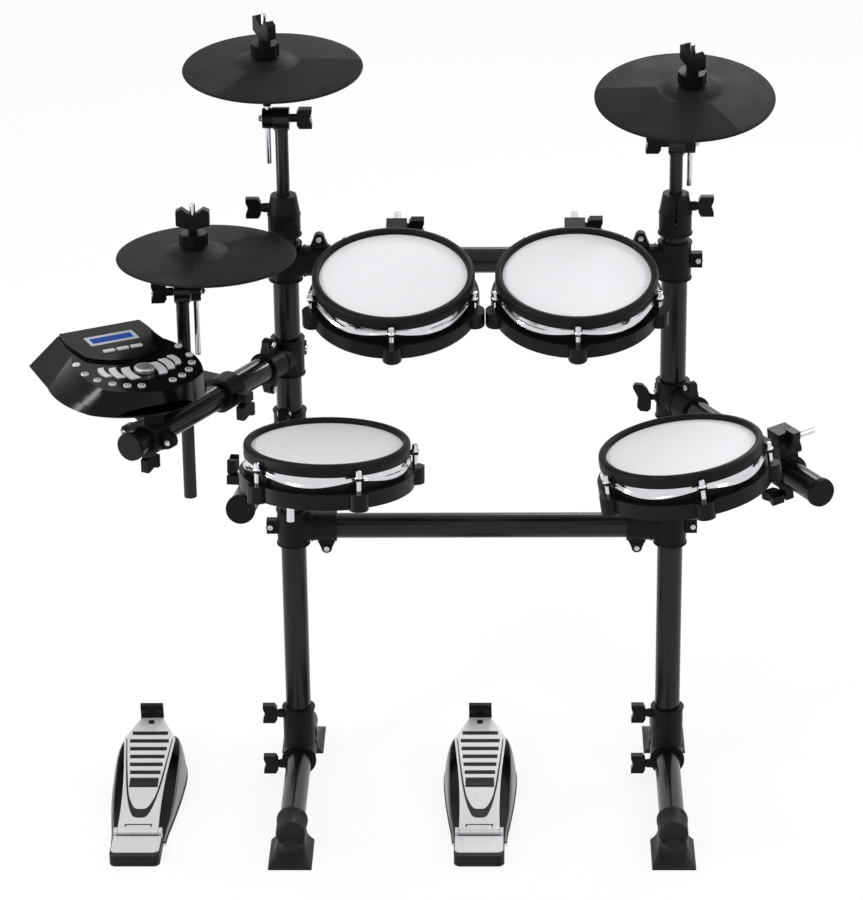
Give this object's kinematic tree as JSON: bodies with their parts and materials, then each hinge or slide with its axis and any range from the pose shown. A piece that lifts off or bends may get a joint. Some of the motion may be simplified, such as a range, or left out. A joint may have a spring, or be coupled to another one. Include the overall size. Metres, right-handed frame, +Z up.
{
  "type": "electronic drum kit",
  "caption": "Free-standing electronic drum kit on a black tube rack, with white mesh pads, rubber cymbals on tilting stands, a sound module and slotted foot pedals.",
  "frame": {"origin": "on the floor, midway between the two rack posts, under the upper crossbar", "axes": "+Z up, +Y away from the drummer, +X to the drummer's right"},
  "size_m": [1.132, 0.67, 1.2257],
  "materials": {
    "tube_paint": "semi-gloss black paint on steel tube",
    "rubber_black": "moulded black rubber",
    "clamp_plastic": "matte black moulded plastic",
    "pedal_plastic": "dark grey moulded plastic",
    "board_metal": "satin silver metal plate",
    "module_plastic": "gloss black moulded plastic",
    "circuit_plastic": "circuit board with a blue display",
    "key_silver": "silver painted plastic",
    "key_plastic": "grey moulded key",
    "pad_plastic": "black moulded shell and rubber rim",
    "chrome": "polished chrome",
    "mesh_fabric": "white woven mesh head",
    "cymbal_rubber": "dark grey moulded rubber"
  },
  "bodies": {
    "rack": {"rack_tubes": "tube_paint", "rubber_feet": "rubber_black", "leg_joints": "clamp_plastic", "crossbar_clamps": "clamp_plastic", "post_top_clamps": "clamp_plastic", "rack_wing_bolts": "clamp_plastic", "pedal_bases": "pedal_plastic"},
    "kick_board": {"kick_footboard": "board_metal"},
    "hihat_board": {"hihat_footboard": "board_metal"},
    "module_arm": {"module_arm": "tube_paint"},
    "snare_arm": {"snare_arm": "tube_paint"},
    "floor_tom_arm": {"floor_tom_arm": "tube_paint"},
    "tom_left": {"tom_left_shell": "pad_plastic", "tom_left_hoop": "chrome", "tom_left_head": "mesh_fabric"},
    "tom_right": {"tom_right_shell": "pad_plastic", "tom_right_hoop": "chrome", "tom_right_head": "mesh_fabric"},
    "floor_tom": {"floor_tom_shell": "pad_plastic", "floor_tom_hoop": "chrome", "floor_tom_head": "mesh_fabric"},
    "snare": {"snare_shell": "pad_plastic", "snare_hoop": "chrome", "snare_head": "mesh_fabric"},
    "module": {"module_upper_case": "module_plastic", "module_lower_case": "module_plastic", "module_board": "circuit_plastic"},
    "dial": {"module_dial": "key_silver"},
    "display_key_1_body": {"display_key_1": "key_plastic"},
    "display_key_2_body": {"display_key_2": "key_plastic"},
    "display_key_3_body": {"display_key_3": "key_plastic"},
    "blade_key_left_1_body": {"blade_key_left_1": "key_silver"},
    "blade_key_left_2_body": {"blade_key_left_2": "key_silver"},
    "blade_key_left_3_body": {"blade_key_left_3": "key_silver"},
    "round_key_left_1_body": {"round_key_left_1": "key_plastic"},
    "round_key_left_2_body": {"round_key_left_2": "key_plastic"},
    "round_key_left_3_body": {"round_key_left_3": "key_plastic"},
    "round_key_left_4_body": {"round_key_left_4": "key_plastic"},
    "round_key_left_5_body": {"round_key_left_5": "key_plastic"},
    "round_key_left_6_body": {"round_key_left_6": "key_plastic"},
    "blade_key_right_1_body": {"blade_key_right_1": "key_silver"},
    "blade_key_right_2_body": {"blade_key_right_2": "key_silver"},
    "blade_key_right_3_body": {"blade_key_right_3": "key_silver"},
    "round_key_right_1_body": {"round_key_right_1": "key_plastic"},
    "round_key_right_2_body": {"round_key_right_2": "key_plastic"},
    "round_key_right_3_body": {"round_key_right_3": "key_plastic"},
    "round_key_right_4_body": {"round_key_right_4": "key_plastic"},
    "round_key_right_5_body": {"round_key_right_5": "key_plastic"},
    "round_key_right_6_body": {"round_key_right_6": "key_plastic"},
    "crash_left_stand_body": {"crash_left_stand": "tube_paint"},
    "crash_left_tilter_body": {"crash_left_tilter": "clamp_plastic"},
    "crash_left_cymbal_body": {"crash_left_cymbal": "cymbal_rubber"},
    "crash_right_stand_body": {"crash_right_stand": "tube_paint"},
    "crash_right_tilter_body": {"crash_right_tilter": "clamp_plastic"},
    "crash_right_cymbal_body": {"crash_right_cymbal": "cymbal_rubber"},
    "hihat_stand_body": {"hihat_stand": "tube_paint"},
    "hihat_tilter_body": {"hihat_tilter": "clamp_plastic"},
    "hihat_cymbal_body": {"hihat_cymbal": "cymbal_rubber"}
  },
  "joints": [
    {"name": "kick_pedal_press", "type": "hinge", "parent": "rack", "child": "kick_board", "pos_m": [-0.004, -0.222, 0.022], "axis": [-1, 0, 0], "range_deg": [0, 5.5], "stiffness_Nm_per_rad": 6, "springref_deg": -8.59},
    {"name": "hihat_pedal_press", "type": "hinge", "parent": "rack", "child": "hihat_board", "pos_m": [-0.5145, -0.222, 0.022], "axis": [-1, 0, 0], "range_deg": [0, 5.5], "stiffness_Nm_per_rad": 6, "springref_deg": -8.59},
    {"name": "module_arm_swing", "type": "hinge", "parent": "rack", "child": "module_arm", "pos_m": [-0.28365, 0, 0.7], "axis": [0, 0, 1], "range_deg": [-6, 8]},
    {"name": "snare_arm_swing", "type": "hinge", "parent": "rack", "child": "snare_arm", "pos_m": [-0.28365, 0, 0.585], "axis": [0, 0, 1], "range_deg": [-8, 8]},
    {"name": "floor_tom_arm_swing", "type": "hinge", "parent": "rack", "child": "floor_tom_arm", "pos_m": [0.28365, 0, 0.63], "axis": [0, 0, 1], "range_deg": [-8, 10]},
    {"name": "tom_left_tilt", "type": "hinge", "parent": "rack", "child": "tom_left", "pos_m": [-0.12, 0, 0.848], "axis": [1, 0, 0], "range_deg": [-12, 8]},
    {"name": "tom_right_tilt", "type": "hinge", "parent": "rack", "child": "tom_right", "pos_m": [0.138, 0, 0.848], "axis": [1, 0, 0], "range_deg": [-12, 8]},
    {"name": "floor_tom_tilt", "type": "hinge", "parent": "floor_tom_arm", "child": "floor_tom", "pos_m": [0.43055, -0.26501, 0.63], "axis": [0.4848, -0.8746, 0], "range_deg": [-10, 10]},
    {"name": "snare_tilt", "type": "hinge", "parent": "snare_arm", "child": "snare", "pos_m": [-0.3137, -0.25582, 0.61207], "axis": [0.116, 0.9877, -0.1045], "range_deg": [-8, 8]},
    {"name": "module_tilt", "type": "hinge", "parent": "module_arm", "child": "module", "pos_m": [-0.46076, -0.30188, 0.7], "axis": [-0.506, -0.8625, 0], "range_deg": [-12, 3]},
    {"name": "dial_turn", "type": "hinge", "parent": "module", "child": "dial", "pos_m": [-0.4635, -0.3017, 0.7975], "axis": [0.053, -0.0499, 0.9973], "continuous": true},
    {"name": "display_key_1_press", "type": "slide", "parent": "module", "child": "display_key_1_body", "axis": [-0.053, 0.0499, -0.9973], "range_m": [0, 0.0015], "stiffness_N_per_m": 300, "springref_m": -0.001},
    {"name": "display_key_2_press", "type": "slide", "parent": "module", "child": "display_key_2_body", "axis": [-0.053, 0.0499, -0.9973], "range_m": [0, 0.0015], "stiffness_N_per_m": 300, "springref_m": -0.001},
    {"name": "display_key_3_press", "type": "slide", "parent": "module", "child": "display_key_3_body", "axis": [-0.053, 0.0499, -0.9973], "range_m": [0, 0.0015], "stiffness_N_per_m": 300, "springref_m": -0.001},
    {"name": "blade_key_left_1_press", "type": "slide", "parent": "module", "child": "blade_key_left_1_body", "axis": [-0.053, 0.0499, -0.9973], "range_m": [0, 0.0015], "stiffness_N_per_m": 300, "springref_m": -0.001},
    {"name": "blade_key_left_2_press", "type": "slide", "parent": "module", "child": "blade_key_left_2_body", "axis": [-0.053, 0.0499, -0.9973], "range_m": [0, 0.0015], "stiffness_N_per_m": 300, "springref_m": -0.001},
    {"name": "blade_key_left_3_press", "type": "slide", "parent": "module", "child": "blade_key_left_3_body", "axis": [-0.053, 0.0499, -0.9973], "range_m": [0, 0.0015], "stiffness_N_per_m": 300, "springref_m": -0.001},
    {"name": "round_key_left_1_press", "type": "slide", "parent": "module", "child": "round_key_left_1_body", "axis": [-0.053, 0.0499, -0.9973], "range_m": [0, 0.0015], "stiffness_N_per_m": 300, "springref_m": -0.001},
    {"name": "round_key_left_2_press", "type": "slide", "parent": "module", "child": "round_key_left_2_body", "axis": [-0.053, 0.0499, -0.9973], "range_m": [0, 0.0015], "stiffness_N_per_m": 300, "springref_m": -0.001},
    {"name": "round_key_left_3_press", "type": "slide", "parent": "module", "child": "round_key_left_3_body", "axis": [-0.053, 0.0499, -0.9973], "range_m": [0, 0.0015], "stiffness_N_per_m": 300, "springref_m": -0.001},
    {"name": "round_key_left_4_press", "type": "slide", "parent": "module", "child": "round_key_left_4_body", "axis": [-0.053, 0.0499, -0.9973], "range_m": [0, 0.0015], "stiffness_N_per_m": 300, "springref_m": -0.001},
    {"name": "round_key_left_5_press", "type": "slide", "parent": "module", "child": "round_key_left_5_body", "axis": [-0.053, 0.0499, -0.9973], "range_m": [0, 0.0015], "stiffness_N_per_m": 300, "springref_m": -0.001},
    {"name": "round_key_left_6_press", "type": "slide", "parent": "module", "child": "round_key_left_6_body", "axis": [-0.053, 0.0499, -0.9973], "range_m": [0, 0.0015], "stiffness_N_per_m": 300, "springref_m": -0.001},
    {"name": "blade_key_right_1_press", "type": "slide", "parent": "module", "child": "blade_key_right_1_body", "axis": [-0.053, 0.0499, -0.9973], "range_m": [0, 0.0015], "stiffness_N_per_m": 300, "springref_m": -0.001},
    {"name": "blade_key_right_2_press", "type": "slide", "parent": "module", "child": "blade_key_right_2_body", "axis": [-0.053, 0.0499, -0.9973], "range_m": [0, 0.0015], "stiffness_N_per_m": 300, "springref_m": -0.001},
    {"name": "blade_key_right_3_press", "type": "slide", "parent": "module", "child": "blade_key_right_3_body", "axis": [-0.053, 0.0499, -0.9973], "range_m": [0, 0.0015], "stiffness_N_per_m": 300, "springref_m": -0.001},
    {"name": "round_key_right_1_press", "type": "slide", "parent": "module", "child": "round_key_right_1_body", "axis": [-0.053, 0.0499, -0.9973], "range_m": [0, 0.0015], "stiffness_N_per_m": 300, "springref_m": -0.001},
    {"name": "round_key_right_2_press", "type": "slide", "parent": "module", "child": "round_key_right_2_body", "axis": [-0.053, 0.0499, -0.9973], "range_m": [0, 0.0015], "stiffness_N_per_m": 300, "springref_m": -0.001},
    {"name": "round_key_right_3_press", "type": "slide", "parent": "module", "child": "round_key_right_3_body", "axis": [-0.053, 0.0499, -0.9973], "range_m": [0, 0.0015], "stiffness_N_per_m": 300, "springref_m": -0.001},
    {"name": "round_key_right_4_press", "type": "slide", "parent": "module", "child": "round_key_right_4_body", "axis": [-0.053, 0.0499, -0.9973], "range_m": [0, 0.0015], "stiffness_N_per_m": 300, "springref_m": -0.001},
    {"name": "round_key_right_5_press", "type": "slide", "parent": "module", "child": "round_key_right_5_body", "axis": [-0.053, 0.0499, -0.9973], "range_m": [0, 0.0015], "stiffness_N_per_m": 300, "springref_m": -0.001},
    {"name": "round_key_right_6_press", "type": "slide", "parent": "module", "child": "round_key_right_6_body", "axis": [-0.053, 0.0499, -0.9973], "range_m": [0, 0.0015], "stiffness_N_per_m": 300, "springref_m": -0.001},
    {"name": "crash_left_height", "type": "slide", "parent": "rack", "child": "crash_left_stand_body", "axis": [0, 0, 1], "range_m": [0, 0.08]},
    {"name": "crash_left_tilt", "type": "hinge", "parent": "crash_left_stand_body", "child": "crash_left_tilter_body", "pos_m": [-0.28365, 0, 1.066], "axis": [1, 0, 0], "range_deg": [-15, 15]},
    {"name": "crash_left_rock", "type": "hinge", "parent": "crash_left_tilter_body", "child": "crash_left_cymbal_body", "pos_m": [-0.30315, -0.00877, 1.15879], "axis": [0.829, 0.5567, 0.0526], "range_deg": [-4, 4], "stiffness_Nm_per_rad": 6},
    {"name": "crash_right_height", "type": "slide", "parent": "rack", "child": "crash_right_stand_body", "axis": [0, 0, 1], "range_m": [0, 0.08]},
    {"name": "crash_right_tilt", "type": "hinge", "parent": "crash_right_stand_body", "child": "crash_right_tilter_body", "pos_m": [0.28365, 0, 1.026], "axis": [-1, 0, 0], "range_deg": [-15, 15]},
    {"name": "crash_right_rock", "type": "hinge", "parent": "crash_right_tilter_body", "child": "crash_right_cymbal_body", "pos_m": [0.30315, -0.01858, 1.11733], "axis": [0.848, -0.5193, -0.1056], "range_deg": [-4, 4], "stiffness_Nm_per_rad": 6},
    {"name": "hihat_height", "type": "slide", "parent": "module_arm", "child": "hihat_stand_body", "axis": [0, 0, 1], "range_m": [-0.01, 0.015]},
    {"name": "hihat_tilt", "type": "hinge", "parent": "hihat_stand_body", "child": "hihat_tilter_body", "pos_m": [-0.4258, -0.1079, 0.842], "axis": [-0.9945, -0.1045, 0], "range_deg": [-10, 2]},
    {"name": "hihat_rock", "type": "hinge", "parent": "hihat_tilter_body", "child": "hihat_cymbal_body", "pos_m": [-0.4064, -0.10587, 0.9072], "axis": [0.4384, 0.8988, 0], "range_deg": [-4, 4], "stiffness_Nm_per_rad": 6}
  ]
}
